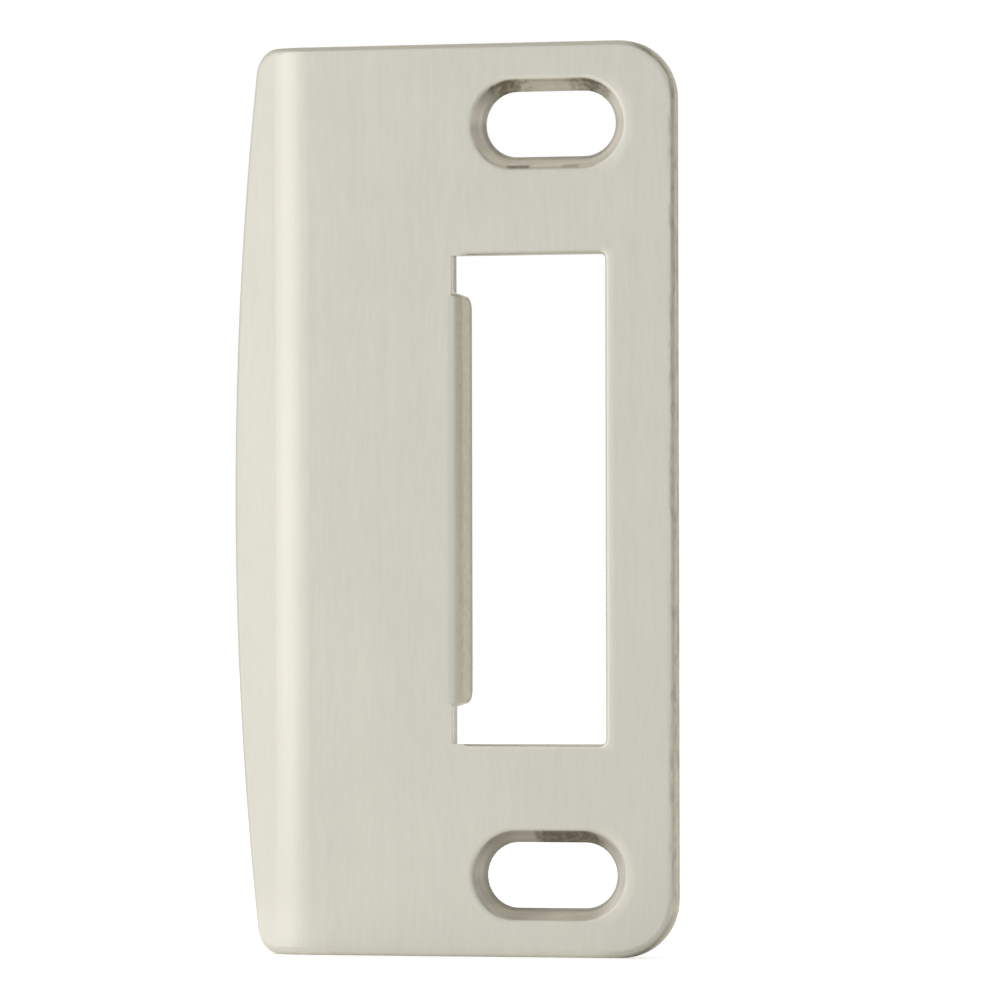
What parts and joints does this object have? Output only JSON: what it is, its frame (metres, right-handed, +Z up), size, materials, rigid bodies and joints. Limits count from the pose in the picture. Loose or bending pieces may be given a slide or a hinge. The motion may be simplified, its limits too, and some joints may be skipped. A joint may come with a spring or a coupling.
{
  "type": "door strike plate",
  "caption": "Door strike plate of satin nickel sheet with a bowed lip folded back along a long edge, a tall latch opening with a folded tab, and countersunk screw slots.",
  "frame": {"origin": "midway between the centres of the screw slots, on the plane of the back face that lies against the jamb", "axes": "+Z up along the plate's length, -Y out of the front face, +X towards the plain long edge and away from the lip"},
  "size_m": [0.0368, 0.0044, 0.0698],
  "materials": {
    "satin_nickel": "satin"
  },
  "bodies": {
    "root": {"strike_plate": "satin_nickel"}
  },
  "joints": []
}
